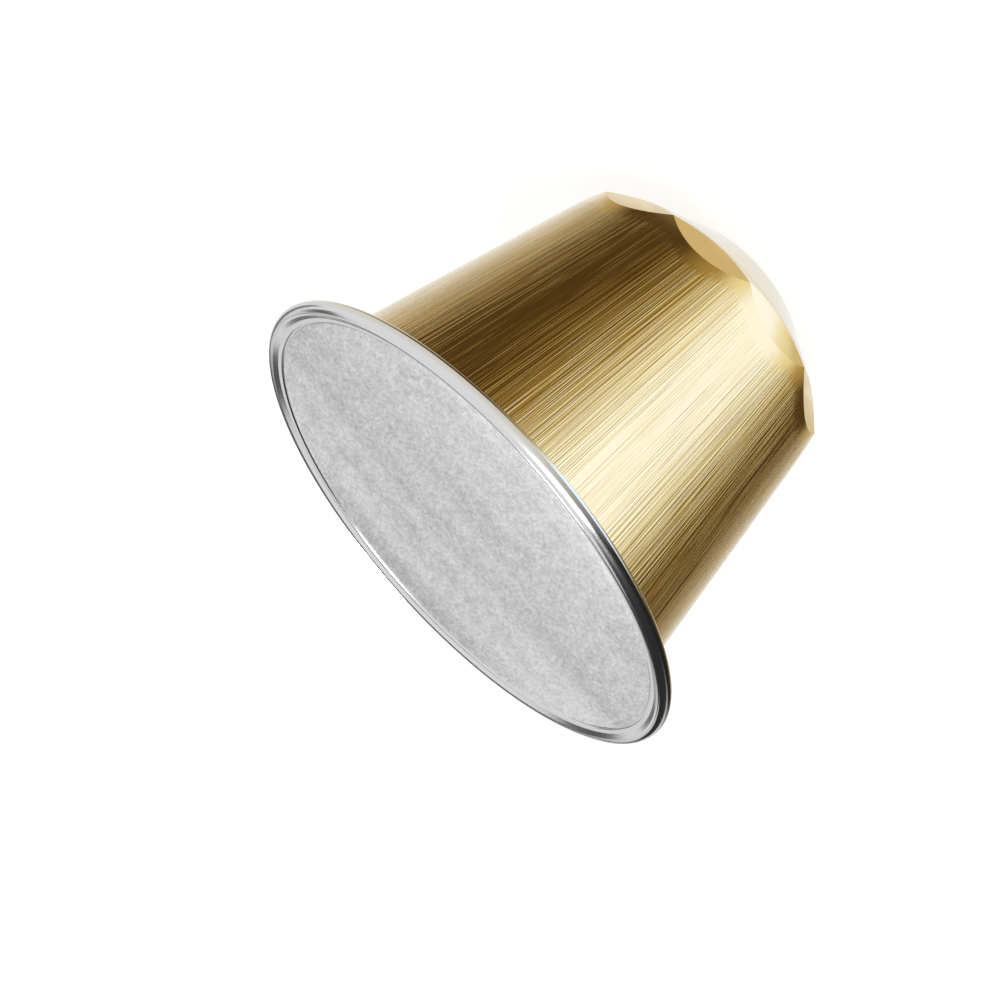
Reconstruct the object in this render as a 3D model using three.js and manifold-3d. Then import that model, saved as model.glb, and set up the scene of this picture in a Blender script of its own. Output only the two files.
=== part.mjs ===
// Single-serve coffee pod: a drawn aluminium cup with its ground coffee, closed by a foil lid.
// The pod stands on its flat end with the lid up. The origin is the middle of that flat end, +Z is up.
import * as THREE from 'three';
import { mergeVertices } from 'three/addons/utils/BufferGeometryUtils.js';
import Module from 'manifold-3d';

// Driving dimensions, in millimetres and degrees

// Whole pod
const overallHeight = 26.5;
const rimDiameter = 37.1;

// Rolled rim and flange
const beadDiameter = 1.16;
const flangeThickness = 0.35;
const flangeStep = 0.55; // width of the slope from the flange up to the crest of the bead
const wallFillet = 0.5;

// Wall
const flangeWidth = 3.1; // from the rim's edge in to the wall, in the plane of the bead's centre
const wallTaper = 10.76;

// Row of flat scallops pressed into the edge between the wall and the domed end
const scallopCount = 10;
const scallopHeight = 1.3;

// Domed end
const domeHeight = 3.95;
const domeSlope = 35;
const footRounding = 0.6;

// Foil lid
const lidMargin = 0.37; // bare flange between the lid's edge and the slope
const lidThickness = 0.1;
const lidRecess = 0.245;

// Sealing bead under the flange
const sealHeight = 0.5;
const sealClearance = 0.3;

// Fineness of the round shapes
const sidesPerScallop = 8;
const roundSides = scallopCount * sidesPerScallop;
const beadSides = 16;

// Places that follow from the sizes above
const beadRadius = beadDiameter / 2;
const beadCircle = rimDiameter / 2 - beadRadius;
const beadHeight = overallHeight - beadRadius;
const seatHeight = overallHeight - lidRecess - lidThickness;
const flangeUnderside = seatHeight - flangeThickness;
const slopeFoot = beadCircle - flangeStep;
const lidRadius = slopeFoot - lidMargin;
const taper = THREE.MathUtils.degToRad(wallTaper);

function wallRadiusAt(height) {
  return rimDiameter / 2 - flangeWidth - (beadHeight - height) * Math.tan(taper);
}

function arcPoints(centre, radius, from, to, sides) {
  const points = [];
  for (let i = 0; i <= sides; i += 1) {
    const angle = from + (to - from) * i / sides;
    const offset = new THREE.Vector2(Math.cos(angle), Math.sin(angle)).multiplyScalar(radius);
    points.push(offset.add(centre));
  }
  return points;
}

function revolve(profile) {
  const geometry = new THREE.LatheGeometry(profile, roundSides);
  geometry.rotateX(Math.PI / 2);
  return geometry;
}

// Solids for joining and cutting

const wasm = await Module();
wasm.setup();

function toSolid(geometry) {
  const bare = geometry.clone();
  bare.deleteAttribute('normal');
  bare.deleteAttribute('uv');
  const merged = mergeVertices(bare, 1e-5);
  const triangles = [];
  for (let i = 0; i < merged.index.count; i += 3) {
    const [a, b, c] = [0, 1, 2].map((k) => merged.index.getX(i + k));
    if (a !== b && b !== c && c !== a) {
      triangles.push(a, b, c);
    }
  }
  return new wasm.Manifold(new wasm.Mesh({
    numProp: 3,
    vertProperties: Float32Array.from(merged.attributes.position.array),
    triVerts: Uint32Array.from(triangles),
  }));
}

function toGeometry(solid) {
  const mesh = solid.getMesh();
  const geometry = new THREE.BufferGeometry();
  geometry.setAttribute('position', new THREE.BufferAttribute(mesh.vertProperties, 3));
  geometry.setIndex(new THREE.BufferAttribute(mesh.triVerts, 1));
  geometry.computeVertexNormals();
  return geometry;
}

// Half outline of the cup, from the middle of the foot up the dome and the wall, round the rolled rim
// and back along the flange's face
function cupProfile() {
  const slope = THREE.MathUtils.degToRad(domeSlope);
  const footRadius = wallRadiusAt(domeHeight) - domeHeight / Math.tan(slope);
  const reach = footRounding / Math.tan((Math.PI - slope) / 2);
  const foot = arcPoints(
    new THREE.Vector2(footRadius - reach, footRounding), footRounding, -Math.PI / 2, slope - Math.PI / 2, 3,
  );
  const fillet = arcPoints(
    new THREE.Vector2(wallRadiusAt(flangeUnderside) + wallFillet, flangeUnderside - wallFillet),
    wallFillet, Math.PI, Math.PI / 2, 4,
  );
  const beadStart = Math.PI + Math.asin((beadHeight - flangeUnderside) / beadRadius);
  const bead = arcPoints(
    new THREE.Vector2(beadCircle, beadHeight), beadRadius, beadStart, 5 * Math.PI / 2, beadSides,
  );
  const crest = overallHeight - seatHeight;
  const flangeSlope = [0.3, 0.6, 0.85, 1].map((t) => new THREE.Vector2(
    beadCircle - flangeStep * t, seatHeight + crest * (0.5 + 0.5 * Math.cos(Math.PI * t)),
  ));
  return [
    new THREE.Vector2(0, 0),
    ...foot,
    new THREE.Vector2(wallRadiusAt(domeHeight), domeHeight),
    ...fillet,
    ...bead,
    ...flangeSlope,
    new THREE.Vector2(0, seatHeight),
  ];
}

// A block whose one face is the flat of a scallop, between two points of the edge
function scallopCutter() {
  const edgeRadius = wallRadiusAt(domeHeight);
  const bottom = new THREE.Vector2(edgeRadius * Math.cos(Math.PI / scallopCount), domeHeight);
  const top = new THREE.Vector2(wallRadiusAt(domeHeight + scallopHeight), domeHeight + scallopHeight);
  const tilt = Math.atan2(top.y - bottom.y, top.x - bottom.x);
  const length = 3 * bottom.distanceTo(top);
  const depth = length;
  const width = 2 * edgeRadius * Math.sin(Math.PI / scallopCount) * 1.2;
  const block = new THREE.BoxGeometry(length, width, depth);
  block.translate(0, 0, -depth / 2);
  block.rotateY(-tilt);
  block.translate((bottom.x + top.x) / 2, 0, (bottom.y + top.y) / 2);
  return block;
}

// The turned cup with its scallops cut
function cupGeometry() {
  let cup = toSolid(revolve(cupProfile()));
  for (let i = 0; i < scallopCount; i += 1) {
    const turn = 2 * Math.PI * (i + 0.5) / scallopCount - Math.PI / 2;
    cup = cup.subtract(toSolid(scallopCutter().rotateZ(turn)));
  }
  return toGeometry(cup);
}

// Foil disc lying on the flange and on the filled cup
function lidGeometry() {
  return revolve([
    new THREE.Vector2(0, seatHeight),
    new THREE.Vector2(lidRadius, seatHeight),
    new THREE.Vector2(lidRadius, seatHeight + lidThickness),
    new THREE.Vector2(0, seatHeight + lidThickness),
  ]);
}

// Soft ring stuck under the flange, in the space between the wall's fillet and the rolled rim
function sealGeometry() {
  const inner = wallRadiusAt(flangeUnderside) + wallFillet + sealClearance;
  const beadSide = Math.sqrt(beadRadius ** 2 - (beadHeight - flangeUnderside) ** 2);
  const outer = beadCircle - beadSide - sealClearance;
  const corner = Math.min(sealHeight, (outer - inner) / 2) * 0.6;
  const bottom = flangeUnderside - sealHeight;
  return revolve([
    new THREE.Vector2(inner, flangeUnderside),
    new THREE.Vector2(inner, bottom + corner),
    new THREE.Vector2(inner + corner, bottom),
    new THREE.Vector2(outer - corner, bottom),
    new THREE.Vector2(outer, bottom + corner),
    new THREE.Vector2(outer, flangeUnderside),
    new THREE.Vector2(inner, flangeUnderside),
  ]);
}

function piece(name, geometry, color, roughness, metalness) {
  const mesh = new THREE.Mesh(geometry, new THREE.MeshStandardMaterial({ color, roughness, metalness }));
  mesh.name = name;
  return mesh;
}

const pod = new THREE.Group();
pod.add(
  piece('cup', cupGeometry(), 0xb8924a, 0.3, 1),
  piece('lid_foil', lidGeometry(), 0xc2c2c1, 0.6, 0.3),
  piece('seal_ring', sealGeometry(), 0xb9b4aa, 0.7, 0),
);

export default pod;
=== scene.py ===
import math

import bmesh
import bpy
from mathutils import Matrix, Quaternion, Vector, noise


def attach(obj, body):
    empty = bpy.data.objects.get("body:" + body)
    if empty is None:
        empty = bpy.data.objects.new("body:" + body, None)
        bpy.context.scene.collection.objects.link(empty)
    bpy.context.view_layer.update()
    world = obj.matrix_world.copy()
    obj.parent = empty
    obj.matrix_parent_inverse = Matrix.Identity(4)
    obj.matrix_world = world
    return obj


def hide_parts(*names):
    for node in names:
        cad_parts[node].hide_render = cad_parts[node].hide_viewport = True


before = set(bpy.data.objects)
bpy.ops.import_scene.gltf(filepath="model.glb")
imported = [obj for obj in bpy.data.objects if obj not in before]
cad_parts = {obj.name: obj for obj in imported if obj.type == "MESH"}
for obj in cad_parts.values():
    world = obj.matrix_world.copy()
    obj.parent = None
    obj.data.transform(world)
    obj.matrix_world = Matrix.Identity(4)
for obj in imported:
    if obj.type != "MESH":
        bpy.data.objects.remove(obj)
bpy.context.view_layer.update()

MM = 0.001

# Sizes of the pod in millimetres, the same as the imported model's
OVERALL_HEIGHT = 26.5
RIM_RADIUS = 18.55
BEAD_RADIUS = 0.58
FLANGE_THICKNESS = 0.35
FLANGE_STEP = 0.55
WALL_FILLET = 0.5
FLANGE_WIDTH = 3.1
WALL_TAPER = math.radians(10.76)
SCALLOPS = 10
SCALLOP_HEIGHT = 1.3
DOME_HEIGHT = 3.95
DOME_SLOPE = math.radians(35)
FOOT_ROUNDING = 0.6
LID_MARGIN = 0.37
LID_THICKNESS = 0.1
LID_RECESS = 0.245
SEAL_HEIGHT = 0.5
SEAL_CLEARANCE = 0.3

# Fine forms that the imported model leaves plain
DOME_LINE_RADIUS = 10.2
DOME_LINE_DEPTH = 0.06
BEAD_END = math.radians(430.2)
GROOVE_DEPTH = 0.05
STEP_HEIGHT = 0.12
LID_LINE_INSET = 0.36
LID_LINE_DEPTH = 0.03
LID_WAVE_HEIGHT = 0.12
TURN_STEPS = SCALLOPS * 36

# Places that follow from them
BEAD_CIRCLE = RIM_RADIUS - BEAD_RADIUS
BEAD_HEIGHT = OVERALL_HEIGHT - BEAD_RADIUS
SEAT_HEIGHT = OVERALL_HEIGHT - LID_RECESS - LID_THICKNESS
FLANGE_UNDERSIDE = SEAT_HEIGHT - FLANGE_THICKNESS
SLOPE_FOOT = BEAD_CIRCLE - FLANGE_STEP
LID_RADIUS = SLOPE_FOOT - LID_MARGIN


def wall_radius(height):
    """Radius of the tapered wall at a height."""
    return RIM_RADIUS - FLANGE_WIDTH - (BEAD_HEIGHT - height) * math.tan(WALL_TAPER)


EDGE_RADIUS = wall_radius(DOME_HEIGHT)


# Outlines in the plane of the radius and the height

def arc(centre, radius, start, end, sides):
    """Points of an arc, from one angle to another."""
    angles = [start + (end - start) * i / sides for i in range(sides + 1)]
    return [Vector((centre[0] + radius * math.cos(a), centre[1] + radius * math.sin(a))) for a in angles]


def dome_height(radius):
    """Height of the domed end's slope above the foot."""
    return DOME_HEIGHT - (EDGE_RADIUS - radius) * math.tan(DOME_SLOPE)


def cup_outline():
    """From the middle of the foot up the dome and the wall, round the rolled rim and in along the flange.

    A fine groove follows the bead, and a low step lies just outside the lid's edge.
    """
    foot_radius = EDGE_RADIUS - DOME_HEIGHT / math.tan(DOME_SLOPE)
    reach = FOOT_ROUNDING / math.tan((math.pi - DOME_SLOPE) / 2)
    foot_centre = (foot_radius - reach, FOOT_ROUNDING)
    foot = arc(foot_centre, FOOT_ROUNDING, -math.pi / 2, DOME_SLOPE - math.pi / 2, 6)
    pressed_line = []
    for shift, deep in ((-0.5, 0), (-0.14, 0), (-0.06, 1), (0.02, 1), (0.08, 0)):
        out = DOME_LINE_RADIUS + shift
        pressed_line.append(Vector((out, dome_height(out) + DOME_LINE_DEPTH * deep)))
    edge = Vector((EDGE_RADIUS, DOME_HEIGHT))
    bead_start = math.pi + math.asin((BEAD_HEIGHT - FLANGE_UNDERSIDE) / BEAD_RADIUS)
    fillet_centre = (wall_radius(FLANGE_UNDERSIDE) + WALL_FILLET, FLANGE_UNDERSIDE - WALL_FILLET)
    fillet = arc(fillet_centre, WALL_FILLET, math.pi, math.pi / 2, 8)
    wall = [edge.lerp(fillet[0], i / 14) for i in range(1, 14)]
    bead = arc((BEAD_CIRCLE, BEAD_HEIGHT), BEAD_RADIUS, bead_start, BEAD_END, 40)
    root = bead[-1]
    groove = [root + Vector((-0.03, -GROOVE_DEPTH)), root + Vector((-0.08, -GROOVE_DEPTH))]
    slope = [root + Vector(shift) for shift in ((-0.12, 0.01), (-0.3, -0.02), (-0.45, -0.09), (-0.6, -0.17))]
    step = [
        Vector((SLOPE_FOOT + 0.1, SEAT_HEIGHT + STEP_HEIGHT)),
        Vector((LID_RADIUS + 0.16, SEAT_HEIGHT + STEP_HEIGHT - 0.01)),
        Vector((LID_RADIUS + 0.1, SEAT_HEIGHT)),
    ]
    return [
        Vector((0, 0)), *foot, *pressed_line, edge, *wall, *fillet, *bead, *groove, *slope, *step,
        Vector((LID_RADIUS - 1, SEAT_HEIGHT)), Vector((0, SEAT_HEIGHT)),
    ]


# Meshes

def spin_outline(bm, outline, steps=TURN_STEPS):
    """Turns an outline once round the pod's axis."""
    verts = [bm.verts.new((p.x, 0, p.y)) for p in outline]
    edges = [bm.edges.new(pair) for pair in zip(verts, verts[1:])]
    bmesh.ops.spin(
        bm, geom=verts + edges, cent=(0, 0, 0), axis=(0, 0, 1), angle=2 * math.pi, steps=steps,
        use_merge=True,
    )


def close_up(bm):
    """Merges what meets and turns the faces outwards."""
    bmesh.ops.remove_doubles(bm, verts=bm.verts, dist=1e-4)
    bmesh.ops.dissolve_degenerate(bm, dist=1e-5, edges=bm.edges)
    bmesh.ops.recalc_face_normals(bm, faces=bm.faces)


SHARP_FROM = math.radians(14)


def finish_mesh(bm, name, materials, node):
    """Makes the object in metres, smooth but for its sharp edges, in place of its plain solid."""
    for face in bm.faces:
        face.smooth = True
    for edge in bm.edges:
        edge.smooth = len(edge.link_faces) == 2 and edge.calc_face_angle(0) < SHARP_FROM
    bmesh.ops.scale(bm, vec=(MM, MM, MM), verts=bm.verts)
    mesh = bpy.data.meshes.new(name)
    bm.to_mesh(mesh)
    bm.free()
    obj = bpy.data.objects.new(name, mesh)
    bpy.context.scene.collection.objects.link(obj)
    for material in materials:
        mesh.materials.append(material)
    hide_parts(node)
    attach(obj, "root")


def scallop_plane(index):
    """A point and the outward direction of one scallop's flat."""
    bottom = Vector((EDGE_RADIUS * math.cos(math.pi / SCALLOPS), 0, DOME_HEIGHT))
    height = DOME_HEIGHT + SCALLOP_HEIGHT
    along = (Vector((wall_radius(height), 0, height)) - bottom).normalized()
    turn = Matrix.Rotation(2 * math.pi * (index + 0.5) / SCALLOPS - math.pi / 2, 3, "Z")
    return turn @ bottom, turn @ Vector((along.z, 0, -along.x))


def make_cup(lacquer, bare):
    """Drawn cup: the turned form with its scallops pressed flat."""
    bm = bmesh.new()
    spin_outline(bm, cup_outline())
    close_up(bm)
    for index in range(SCALLOPS):
        point, out = scallop_plane(index)
        cut = bmesh.ops.bisect_plane(
            bm, geom=bm.verts[:] + bm.edges[:] + bm.faces[:], dist=1e-5, plane_co=point, plane_no=out,
            clear_outer=True,
        )
        rim = [e for e in cut["geom_cut"] if isinstance(e, bmesh.types.BMEdge)]
        bmesh.ops.contextual_create(bm, geom=rim)
    close_up(bm)
    # The lacquer covers the outside as far as the rolled rim: the rim and the flange's face are bare
    for face in bm.faces:
        middle = face.calc_center_median()
        outwards = math.hypot(middle.x, middle.y)
        under_bead = outwards > BEAD_CIRCLE - BEAD_RADIUS and middle.z < FLANGE_UNDERSIDE
        above_flange = middle.z > FLANGE_UNDERSIDE + 0.02
        face.material_index = int(under_bead or above_flange)
    finish_mesh(bm, "drawn_cup", [lacquer, bare], "cup")


def lid_wave(x, y):
    """Height of the foil's soft long waves, in millimetres."""
    long_wave = noise.noise(Vector((x * 0.05 + 3, y * 0.17, 0.3)))
    short_wave = noise.noise(Vector((x * 0.16, y * 0.42, 7.1)))
    fade = min(1, max(0, (LID_RADIUS - 1 - math.hypot(x, y)) / 2.5))
    return max(-0.04, LID_WAVE_HEIGHT * (long_wave + 0.45) + 0.05 * short_wave) * fade


def make_lid(foil):
    """Foil disc with soft waves, a turned-down edge and a fine line pressed just inside it."""
    bm = bmesh.new()
    top = SEAT_HEIGHT + LID_THICKNESS
    rings = [Vector((LID_RADIUS * i / 70, top)) for i in range(67)]
    line_radius = LID_RADIUS - LID_LINE_INSET
    margin = [
        Vector((line_radius - 0.19, top)), Vector((line_radius - 0.06, top)),
        Vector((line_radius, top - LID_LINE_DEPTH)), Vector((line_radius + 0.06, top)),
        Vector((LID_RADIUS - 0.08, top)), Vector((LID_RADIUS, top - 0.05)),
    ]
    spin_outline(bm, [*rings, *margin, Vector((LID_RADIUS, SEAT_HEIGHT)), Vector((0, SEAT_HEIGHT))], 240)
    close_up(bm)
    for vert in bm.verts:
        if vert.co.z > top - 0.01:
            vert.co.z += lid_wave(vert.co.x, vert.co.y)
    finish_mesh(bm, "foil_lid", [foil], "lid_foil")


def make_seal(silicone):
    """Soft ring under the flange."""
    inner = wall_radius(FLANGE_UNDERSIDE) + WALL_FILLET + SEAL_CLEARANCE
    outer = BEAD_CIRCLE - math.sqrt(BEAD_RADIUS ** 2 - (BEAD_HEIGHT - FLANGE_UNDERSIDE) ** 2) - SEAL_CLEARANCE
    corner = (outer - inner) / 2
    bottom = FLANGE_UNDERSIDE - SEAL_HEIGHT
    half_round = arc(((inner + outer) / 2, bottom + corner), corner, math.pi, 2 * math.pi, 12)
    corners = [Vector((inner, FLANGE_UNDERSIDE)), *half_round, Vector((outer, FLANGE_UNDERSIDE))]
    bm = bmesh.new()
    spin_outline(bm, [*corners, corners[0].copy()], 180)
    close_up(bm)
    finish_mesh(bm, "sealing_bead", [silicone], "seal_ring")


# Materials

def linear(code):
    """An sRGB hex value as linear red, green, blue and alpha."""
    parts = [int(code[i:i + 2], 16) / 255 for i in (0, 2, 4)]
    return tuple(c / 12.92 if c <= 0.04045 else ((c + 0.055) / 1.055) ** 2.4 for c in parts) + (1,)


def add(tree, kind, inputs=None, **settings):
    """Adds a node, sets it, and links or fills its inputs. Returns its outputs."""
    made = tree.nodes.new(kind)
    for name, value in settings.items():
        setattr(made, name, value)
    for key, value in (inputs or {}).items():
        if isinstance(value, bpy.types.NodeSocket):
            tree.links.new(value, made.inputs[key])
        else:
            made.inputs[key].default_value = value
    return made.outputs


def new_material(name):
    """An empty node material and its node tree."""
    material = bpy.data.materials.new(name)
    material.use_nodes = True
    tree = material.node_tree
    tree.nodes.clear()
    return material, tree


def lacquered_brushed_aluminium():
    """Gold lacquer over aluminium brushed from end to end: fine lines of uneven length under a thin gloss."""
    material, tree = new_material("gold_lacquer_on_brushed_aluminium")
    place = add(tree, "ShaderNodeTexCoord")["Object"]
    x, y, z = add(tree, "ShaderNodeSeparateXYZ", {0: place})[:]
    flat = add(tree, "ShaderNodeCombineXYZ", {0: x, 1: y})[0]
    around = add(tree, "ShaderNodeVectorMath", {0: flat}, operation="NORMALIZE")[0]
    round_x, round_y, _ = add(tree, "ShaderNodeSeparateXYZ", {0: around})[:]
    height = add(tree, "ShaderNodeMath", {0: z, 1: 1 / MM}, operation="MULTIPLY")[0]

    # Fine lines about 0.25 mm apart and 17 mm long, and broader ones about 0.6 mm apart and 29 mm long
    lines = []
    for across, along, shift in ((100, 0.06, 0), (42, 0.035, 9)):
        u = add(tree, "ShaderNodeMath", {0: round_x, 1: across}, operation="MULTIPLY")[0]
        v = add(tree, "ShaderNodeMath", {0: round_y, 1: across}, operation="MULTIPLY")[0]
        w = add(tree, "ShaderNodeMath", {0: height, 1: along, 2: shift}, operation="MULTIPLY_ADD")[0]
        spot = add(tree, "ShaderNodeCombineXYZ", {0: u, 1: v, 2: w})[0]
        lines.append(add(
            tree, "ShaderNodeTexNoise", {"Vector": spot, "Scale": 1, "Detail": 2, "Roughness": 0.6},
        )[0])
    both = add(tree, "ShaderNodeMix", {0: 0.35, 2: lines[0], 3: lines[1]})[0]
    brushed = add(
        tree, "ShaderNodeMapRange", {"Value": both, "From Min": 0.36, "From Max": 0.64},
        interpolation_type="SMOOTHSTEP",
    )[0]

    # The lines end a little above the scallops, and just below the flange
    turn = add(tree, "ShaderNodeMath", {0: round_x, 1: round_y}, operation="ARCTAN2")[0]
    wave = add(tree, "ShaderNodeMath", {0: turn, 1: SCALLOPS}, operation="MULTIPLY")[0]
    wave = add(tree, "ShaderNodeMath", {0: wave}, operation="COSINE")[0]
    edge = add(tree, "ShaderNodeMath", {0: wave, 1: -0.5, 2: 5.0}, operation="MULTIPLY_ADD")[0]
    ragged = add(tree, "ShaderNodeMath", {0: lines[0], 1: 1.6, 2: edge}, operation="MULTIPLY_ADD")[0]
    above = add(tree, "ShaderNodeMath", {0: height, 1: ragged}, operation="SUBTRACT")[0]
    lower = add(tree, "ShaderNodeMapRange", {"Value": above, "From Min": -0.5, "From Max": 0.3})[0]
    upper = add(tree, "ShaderNodeMapRange", {"Value": height, "From Min": 25.4, "From Max": 24.2})[0]
    shown = add(tree, "ShaderNodeMath", {0: lower, 1: upper}, operation="MULTIPLY")[0]
    depth = add(tree, "ShaderNodeMath", {0: brushed, 1: shown}, operation="MULTIPLY")[0]

    bump = add(tree, "ShaderNodeBump", {"Strength": 0.9, "Distance": 0.026 * MM, "Height": depth})[0]
    tone = add(
        tree, "ShaderNodeMix", {0: depth, 6: linear("E7CB92"), 7: linear("EBD29B")}, data_type="RGBA",
    )[2]
    shine = add(tree, "ShaderNodeMapRange", {"Value": depth, "To Min": 0.13, "To Max": 0.17})[0]
    surface = add(tree, "ShaderNodeBsdfPrincipled", {
        "Base Color": tone, "Metallic": 1.0, "Roughness": shine, "Normal": bump,
        "Coat Weight": 0.6, "Coat Roughness": 0.12,
    })[0]
    add(tree, "ShaderNodeOutputMaterial", {0: surface})
    return material


def rolled_bare_aluminium():
    """Bare aluminium sheet rolled at the rim: smooth and bright, with faint turning marks."""
    material, tree = new_material("bare_rolled_aluminium")
    place = add(tree, "ShaderNodeTexCoord")["Object"]
    x, y, z = add(tree, "ShaderNodeSeparateXYZ", {0: place})[:]
    flat = add(tree, "ShaderNodeCombineXYZ", {0: x, 1: y})[0]
    out = add(tree, "ShaderNodeVectorMath", {0: flat}, operation="LENGTH")[1]
    spot = add(tree, "ShaderNodeCombineXYZ", {0: out, 1: z})[0]
    marks = add(tree, "ShaderNodeTexNoise", {"Vector": spot, "Scale": 9 / MM, "Detail": 1})[0]
    bump = add(tree, "ShaderNodeBump", {"Strength": 0.12, "Distance": 0.004 * MM, "Height": marks})[0]
    surface = add(tree, "ShaderNodeBsdfPrincipled", {
        "Base Color": linear("D6D6D5"), "Metallic": 1.0, "Roughness": 0.19, "Normal": bump,
    })[0]
    add(tree, "ShaderNodeOutputMaterial", {0: surface})
    return material


def matte_lid_foil():
    """Soft foil with a matte embossed face: a paper-like grain that scatters light, and long soft streaks of
    painted shade for its waves.
    """
    material, tree = new_material("matte_embossed_foil")
    place = add(tree, "ShaderNodeTexCoord")["Object"]
    grain_place = add(tree, "ShaderNodeVectorMath", {0: place, 1: (1, 0.5, 1)}, operation="MULTIPLY")[0]
    wave_shade_place = add(tree, "ShaderNodeVectorMath", {0: place, 1: (0.22, 1, 1)}, operation="MULTIPLY")[0]
    fine = add(tree, "ShaderNodeTexNoise", {
        "Vector": grain_place, "Scale": 4.2 / MM, "Detail": 3, "Roughness": 0.75,
    })[0]
    soft = add(tree, "ShaderNodeTexNoise", {
        "Vector": grain_place, "Scale": 1.5 / MM, "Detail": 3, "Roughness": 0.6,
    })[0]
    # Long soft streaks: painted shade in the colour, standing in for the light and shade on the foil's waves
    wave = add(tree, "ShaderNodeTexNoise", {
        "Vector": wave_shade_place, "Scale": 0.16 / MM, "Detail": 1, "Roughness": 0.4,
    })[0]
    grain = add(tree, "ShaderNodeMix", {0: 0.3, 2: fine, 3: soft})[0]
    bump = add(tree, "ShaderNodeBump", {"Strength": 0.9, "Distance": 0.06 * MM, "Height": grain})[0]
    # The colour mixes the foil's own grain with the painted wave shade
    both = add(tree, "ShaderNodeMix", {0: 0.28, 2: grain, 3: wave})[0]
    tone = add(tree, "ShaderNodeMapRange", {"Value": both, "From Min": 0.36, "From Max": 0.64})[0]
    color = add(
        tree, "ShaderNodeMix", {0: tone, 6: linear("A2A2A2"), 7: linear("DCDCDB")}, data_type="RGBA",
    )[2]
    surface = add(tree, "ShaderNodeBsdfPrincipled", {
        "Base Color": color, "Metallic": 0.25, "Roughness": 0.55, "Normal": bump,
    })[0]
    add(tree, "ShaderNodeOutputMaterial", {0: surface})
    return material


def soft_silicone():
    """Pale silicone: matte, and a little cloudy in its tone."""
    material, tree = new_material("pale_silicone")
    place = add(tree, "ShaderNodeTexCoord")["Object"]
    cloud = add(tree, "ShaderNodeTexNoise", {"Vector": place, "Scale": 0.8 / MM, "Detail": 2})[0]
    color = add(
        tree, "ShaderNodeMix", {0: cloud, 6: linear("B4AFA5"), 7: linear("C3BFB6")}, data_type="RGBA",
    )[2]
    surface = add(tree, "ShaderNodeBsdfPrincipled", {"Base Color": color, "Roughness": 0.6})[0]
    add(tree, "ShaderNodeOutputMaterial", {0: surface})
    return material


# Studio

# The photo's viewpoint, with its aim and distance in millimetres
CAMERA_AZIMUTH = math.radians(1.853)
CAMERA_ELEVATION = math.radians(20.322)
CAMERA_ROLL = math.radians(131.394)
CAMERA_AIM = Vector((-0.196, -0.007, 22.881))
CAMERA_DISTANCE = 265.56


def look_direction(azimuth, elevation):
    """The way a camera looks, for an azimuth from +Y and an elevation above the horizon."""
    level = math.cos(elevation)
    return Vector((-math.sin(azimuth) * level, math.cos(azimuth) * level, -math.sin(elevation)))


def make_camera():
    """The photo's view: from above the lid's edge, with the camera rolled over."""
    data = bpy.data.cameras.new("camera")
    data.sensor_width = 36
    data.lens = 144
    data.clip_start, data.clip_end = 0.01, 10
    camera = bpy.data.objects.new("camera", data)
    look = look_direction(CAMERA_AZIMUTH, CAMERA_ELEVATION)
    camera.location = (CAMERA_AIM - look * CAMERA_DISTANCE) * MM
    camera.rotation_mode = "QUATERNION"
    camera.rotation_quaternion = look.to_track_quat("-Z", "Y") @ Quaternion((0, 0, 1), -CAMERA_ROLL)
    bpy.context.scene.collection.objects.link(camera)
    bpy.context.scene.camera = camera


def seen_rays(tree):
    """One for camera, glossy and transmitted rays, nought for the others."""
    path = add(tree, "ShaderNodeLightPath")
    seen = {0: path["Is Camera Ray"], 1: path["Is Glossy Ray"]}
    glossy = add(tree, "ShaderNodeMath", seen, operation="MAXIMUM")[0]
    return add(tree, "ShaderNodeMath", {0: glossy, 1: path["Is Transmission Ray"]}, operation="MAXIMUM")[0]


FLOOR_GLOW = 0.82
FLOOR_DROP = 0.02


def make_floor():
    """Plain pale floor that keeps the pod's soft shadow."""
    material, tree = new_material("pale_floor")
    paint = add(tree, "ShaderNodeBsdfDiffuse", {"Color": linear("8E8E8E")})[0]
    glow = add(tree, "ShaderNodeEmission", {"Strength": add(
        tree, "ShaderNodeMath", {0: seen_rays(tree), 1: FLOOR_GLOW}, operation="MULTIPLY",
    )[0]})[0]
    both = add(tree, "ShaderNodeAddShader", {0: paint, 1: glow})[0]
    add(tree, "ShaderNodeOutputMaterial", {0: both})
    bm = bmesh.new()
    bmesh.ops.create_grid(bm, x_segments=2, y_segments=2, size=4)
    mesh = bpy.data.meshes.new("floor")
    bm.to_mesh(mesh)
    bm.free()
    mesh.materials.append(material)
    floor = bpy.data.objects.new("floor", mesh)
    floor.location.z = -FLOOR_DROP * MM
    bpy.context.scene.collection.objects.link(floor)


def make_world():
    """White studio that lights softly from all sides."""
    world = bpy.data.worlds.new("studio")
    bpy.context.scene.world = world
    world.use_nodes = True
    tree = world.node_tree
    tree.nodes.clear()
    level = add(tree, "ShaderNodeMapRange", {"Value": seen_rays(tree), "To Min": 0.72, "To Max": 1.0})[0]
    light = add(tree, "ShaderNodeBackground", {"Color": (1, 1, 1, 1), "Strength": level})[0]
    add(tree, "ShaderNodeOutputWorld", {0: light})


LAMP_AIM = Vector((0, 0, 0.013))


def make_lamp(name, azimuth, elevation, distance, size, power):
    """A soft square lamp aimed at the pod."""
    data = bpy.data.lights.new(name, "AREA")
    data.size = size
    data.energy = power
    lamp = bpy.data.objects.new(name, data)
    look = look_direction(math.radians(azimuth), math.radians(elevation))
    lamp.location = LAMP_AIM - look * distance
    lamp.rotation_euler = look.to_track_quat("-Z", "Y").to_euler()
    bpy.context.scene.collection.objects.link(lamp)


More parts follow.
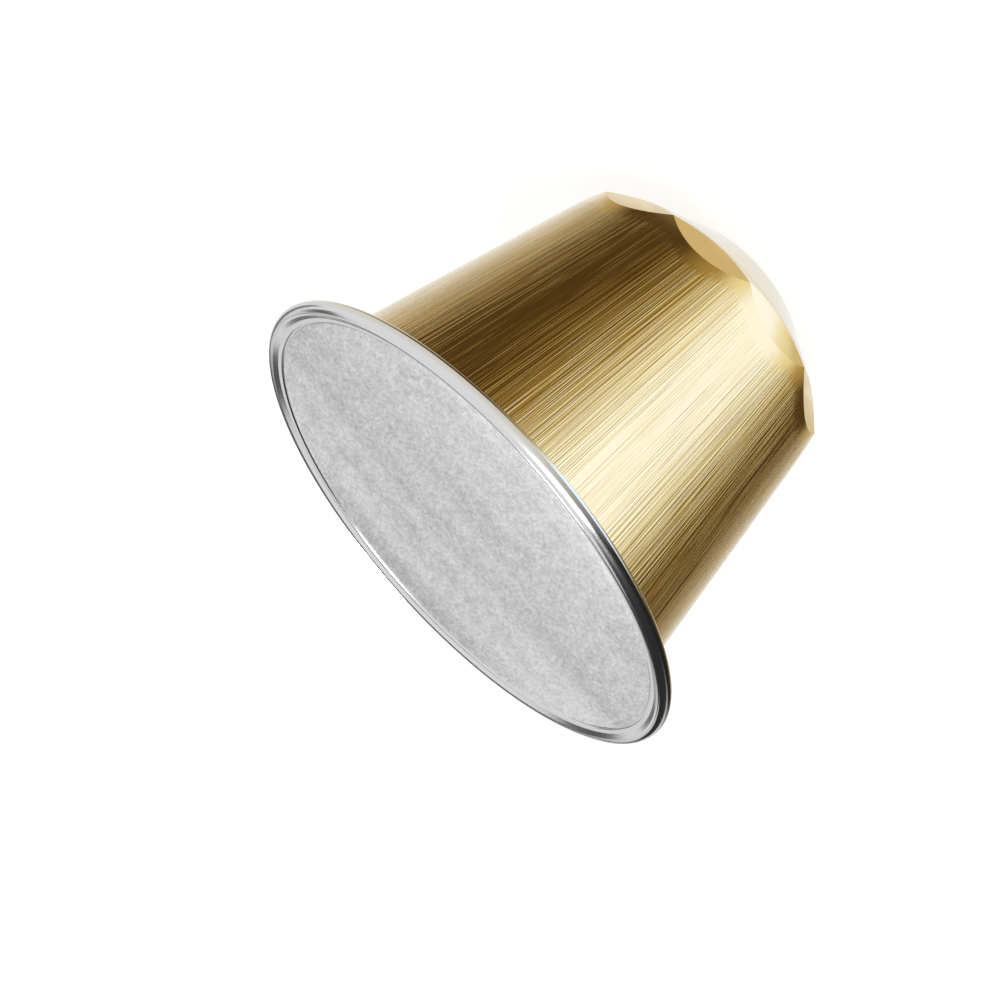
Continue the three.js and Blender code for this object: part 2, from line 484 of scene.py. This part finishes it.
# Lights of the card round the pod's foot, as red, green and blue
PALE_SIDE = Vector((0.95, 0.95, 0.9))
SOFT_TAN = Vector((0.55, 0.45, 0.25))
BROWN_SHADE = Vector((0.09, 0.055, 0.02))
WARM_GOLD = Vector((0.45, 0.35, 0.13))
CREAM = Vector((1.0, 1.05, 0.9))
COOL_WHITE = Vector((1.25, 1.5, 2.2))
BEIGE = Vector((0.75, 0.68, 0.48))
DOME_LIGHT = Vector((0.92, 0.95, 0.98))

# Where each light is mirrored on the wall, in degrees to the side of the wall's nearest line
CARD_LIGHTS = (
    (-80, PALE_SIDE), (-67, SOFT_TAN), (-58, BROWN_SHADE), (-45, BROWN_SHADE), (-38, WARM_GOLD), (-31, CREAM),
    (-22, COOL_WHITE), (-8, COOL_WHITE), (0, CREAM), (9, WARM_GOLD), (24, BROWN_SHADE), (46, BROWN_SHADE),
    (58, SOFT_TAN), (72, PALE_SIDE),
)


def card_tone(angle):
    """The card's light at a place: each light fades softly into the next."""
    for (low_angle, low), (high_angle, high) in zip(CARD_LIGHTS, CARD_LIGHTS[1:]):
        if low_angle <= angle <= high_angle:
            part = (angle - low_angle) / (high_angle - low_angle)
            return low.lerp(high, part * part * (3 - 2 * part))
    return PALE_SIDE.copy()


def foot_tone(angle):
    """The light close to the foot, mirrored by the scallops: never darker than beige."""
    return Vector([max(pair) for pair in zip(card_tone(angle), BEIGE)])


def place_card(bm, name):
    """Makes a card of the mesh, seen only in the pod's gloss and glowing in its own tones."""
    mesh = bpy.data.meshes.new(name)
    bm.to_mesh(mesh)
    bm.free()
    material, tree = new_material(name)
    tone = add(tree, "ShaderNodeAttribute", attribute_name="tone")["Color"]
    add(tree, "ShaderNodeOutputMaterial", {0: add(tree, "ShaderNodeEmission", {"Color": tone})[0]})
    mesh.materials.append(material)
    card = bpy.data.objects.new(name, mesh)
    for ray in ("camera", "diffuse", "transmission", "volume_scatter", "shadow"):
        setattr(card, "visible_" + ray, False)
    bpy.context.scene.collection.objects.link(card)


# The toned card: its reach round the wall in degrees, the wall heights that it serves, its height above the
# floor, and the wall heights between which the foot's light gives way to the card's own
CARD_REACH = 96
CARD_START = 0.6
CARD_SPAN = 60
CARD_LIFT = 0.3
FOOT_LIGHT_END = 1.5
CARD_LIGHT_START = 3.8


def make_card():
    """Toned card round the foot, laid where the wall mirrors it: it gives the wall its bands."""
    columns, rows = 96, 24
    bm = bmesh.new()
    bmesh.ops.create_grid(bm, x_segments=columns, y_segments=rows, size=1)
    tones = bm.verts.layers.float_color.new("tone")
    back = -look_direction(CAMERA_AZIMUTH, CAMERA_ELEVATION)
    for vert in bm.verts:
        side = vert.co.x * CARD_REACH
        height = CARD_START + CARD_SPAN * ((vert.co.y + 1) / 2) ** 2
        angle = math.radians(side) + CAMERA_AZIMUTH
        out = Vector((math.sin(angle), -math.cos(angle), 0))
        normal = out * math.cos(WALL_TAPER) - Vector((0, 0, math.sin(WALL_TAPER)))
        ray = normal * (2 * normal.dot(back)) - back
        start = out * wall_radius(height) + Vector((0, 0, height))
        above_foot = min(1, max(0, (height - FOOT_LIGHT_END) / (CARD_LIGHT_START - FOOT_LIGHT_END)))
        vert[tones] = (*foot_tone(side).lerp(card_tone(side), above_foot), 1)
        vert.co = start + ray * ((height - CARD_LIFT) / -ray.z)
    bmesh.ops.scale(bm, vec=(MM, MM, MM), verts=bm.verts)
    place_card(bm, "toned_card")


# The ring card beside the rim is dark over this stretch, in degrees round from the rim's nearest point
RIM_SHADE_FROM = -90
RIM_SHADE_TO = -10
RIM_SHADE_FADE = 28
RIM_SHADE_LEAST = 0.02
RIM_CARD_LIGHT = 0.9
RIM_CARD_HEIGHT = 24.9
RIM_CARD_GAP = 0.35
RIM_CARD_GROWTH = 4


def make_rim_card():
    """Flat ring card just below the rim and outside it: it darkens one side of the rolled edge."""
    bm = bmesh.new()
    bmesh.ops.create_circle(bm, cap_ends=False, segments=120, radius=(RIM_RADIUS + RIM_CARD_GAP) * MM)
    outer = bmesh.ops.extrude_edge_only(bm, edges=bm.edges[:])
    grown = [v for v in outer["geom"] if isinstance(v, bmesh.types.BMVert)]
    bmesh.ops.scale(bm, vec=(RIM_CARD_GROWTH, RIM_CARD_GROWTH, 1), verts=grown)
    bmesh.ops.translate(bm, vec=(0, 0, RIM_CARD_HEIGHT * MM), verts=bm.verts)
    tones = bm.verts.layers.float_color.new("tone")
    for vert in bm.verts:
        side = math.degrees(math.atan2(vert.co.x, -vert.co.y))
        beyond = max(RIM_SHADE_FROM - side, side - RIM_SHADE_TO)
        level = RIM_CARD_LIGHT * min(1, max(RIM_SHADE_LEAST, 0.5 + beyond / RIM_SHADE_FADE))
        vert[tones] = (level, level, level, 1)
    place_card(bm, "rim_card")


FOOT_CARD_RADII = (9.8, 10.6, 14)
FOOT_CARD_LIFT = 0.02


def make_foot_card():
    """Toned disc under the domed end: pale below the dome, and toned like the card below the scallops."""
    bm = bmesh.new()
    bmesh.ops.create_circle(bm, cap_ends=True, segments=96, radius=FOOT_CARD_RADII[0])
    ring = bm.edges[:]
    for radius, next_radius in zip(FOOT_CARD_RADII, FOOT_CARD_RADII[1:]):
        made = bmesh.ops.extrude_edge_only(bm, edges=ring)["geom"]
        ring = [e for e in made if isinstance(e, bmesh.types.BMEdge)]
        grown = [v for v in made if isinstance(v, bmesh.types.BMVert)]
        grow = next_radius / radius
        bmesh.ops.scale(bm, vec=(grow, grow, 1), verts=grown)
    tones = bm.verts.layers.float_color.new("tone")
    for vert in bm.verts:
        side = math.degrees(math.atan2(vert.co.x, -vert.co.y) - CAMERA_AZIMUTH)
        below_dome = vert.co.length < (FOOT_CARD_RADII[0] + FOOT_CARD_RADII[1]) / 2
        vert[tones] = (*(DOME_LIGHT if below_dome else foot_tone(side)), 1)
        vert.co.z = FOOT_CARD_LIFT
    bmesh.ops.scale(bm, vec=(MM, MM, MM), verts=bm.verts)
    place_card(bm, "foot_card")


def make_flag(name, centre, width, depth, turn, tone):
    """A plain dark card that draws the dark lines of the rolled rim."""
    bm = bmesh.new()
    bmesh.ops.create_grid(bm, x_segments=1, y_segments=1, size=0.5)
    bmesh.ops.scale(bm, vec=(width * MM, depth * MM, 1), verts=bm.verts)
    bmesh.ops.transform(bm, matrix=Matrix.Translation(Vector(centre) * MM) @ turn, verts=bm.verts)
    tones = bm.verts.layers.float_color.new("tone")
    for vert in bm.verts:
        vert[tones] = (tone, tone, tone, 1)
    place_card(bm, name)


bpy.context.scene.view_settings.view_transform = "Standard"
make_cup(lacquered_brushed_aluminium(), rolled_bare_aluminium())
make_lid(matte_lid_foil())
make_seal(soft_silicone())
make_floor()
make_world()
make_card()
lying = Matrix.Identity(4)
upright = Matrix.Rotation(math.radians(90), 4, "X")
sideways = Matrix.Rotation(math.radians(90), 4, "Z") @ upright
make_flag("side_flag", centre=(-60, 7, 75), width=236, depth=150, turn=sideways, tone=0.03)
make_flag("back_flag", centre=(0, 150, 28), width=400, depth=62, turn=upright, tone=0.12)
make_flag("top_flag", centre=(0, 119, 100), width=260, depth=76, turn=lying, tone=0.06)
make_foot_card()
make_rim_card()
make_lamp("soft_key", azimuth=-20, elevation=35, distance=0.5, size=0.3, power=2.4)
make_camera()
